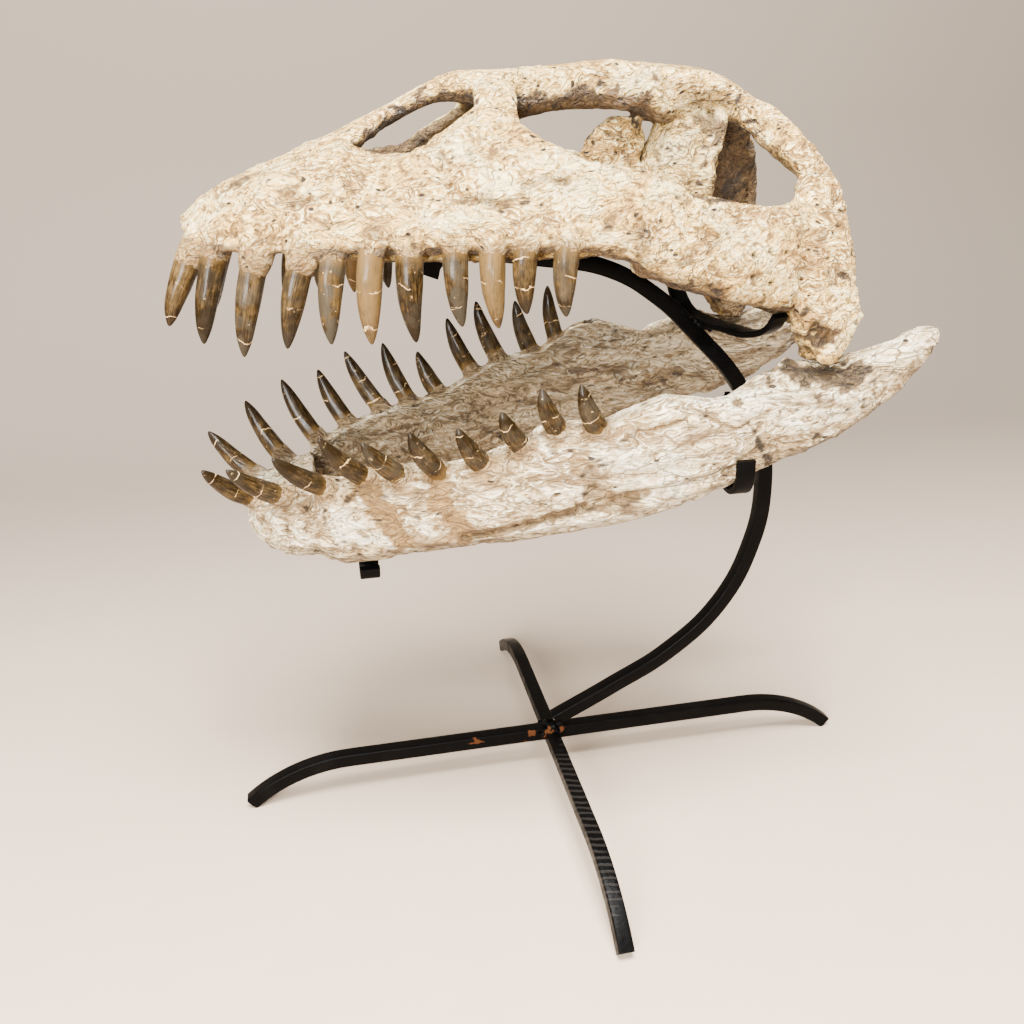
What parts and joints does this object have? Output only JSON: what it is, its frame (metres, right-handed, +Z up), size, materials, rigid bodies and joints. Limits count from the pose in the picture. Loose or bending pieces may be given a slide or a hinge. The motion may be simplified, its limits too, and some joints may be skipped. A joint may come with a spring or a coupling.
{
  "type": "plesiosaur skull fossil",
  "caption": "Long-necked plesiosaur skull with its jaws open, held life size on a welded black iron cross stand by a curved mast, cradle and jaw hooks.",
  "frame": {"origin": "middle of the bounding box, on the floor under the stand", "axes": "snout toward -X, the animal's left side toward -Y, +Z up"},
  "size_m": [0.4396, 0.3402, 0.467],
  "materials": {
    "skull_bone": "matte fossil bone, cream with orange-brown stain and pits",
    "jaw_bone": "matte chalky fossil bone with tan filler",
    "iron": "satin black paint"
  },
  "bodies": {
    "root": {"braincase": "skull_bone", "cheek_left": "skull_bone", "cheek_right": "skull_bone", "ectopterygoid_left": "skull_bone", "ectopterygoid_right": "skull_bone", "frontal_bar": "skull_bone", "jaw_articular_left": "jaw_bone", "jaw_articular_right": "jaw_bone", "jaw_chin": "jaw_bone", "jaw_ramus_left": "jaw_bone", "jaw_ramus_right": "jaw_bone", "palate": "skull_bone", "parietal_crest": "skull_bone", "paroccipital_left": "skull_bone", "paroccipital_right": "skull_bone", "postorbital_left": "skull_bone", "postorbital_right": "skull_bone", "pterygoid_left": "skull_bone", "pterygoid_right": "skull_bone", "quadrate_left": "skull_bone", "quadrate_right": "skull_bone", "snout": "skull_bone", "sphenoid_plate": "skull_bone", "squamosal_left": "skull_bone", "squamosal_right": "skull_bone", "stand_cradle": "iron", "stand_cross_bar": "iron", "stand_jaw_hooks": "iron", "stand_jaw_strut": "iron", "stand_leg_back": "iron", "stand_leg_front": "iron", "stand_mast": "iron"}
  },
  "joints": []
}
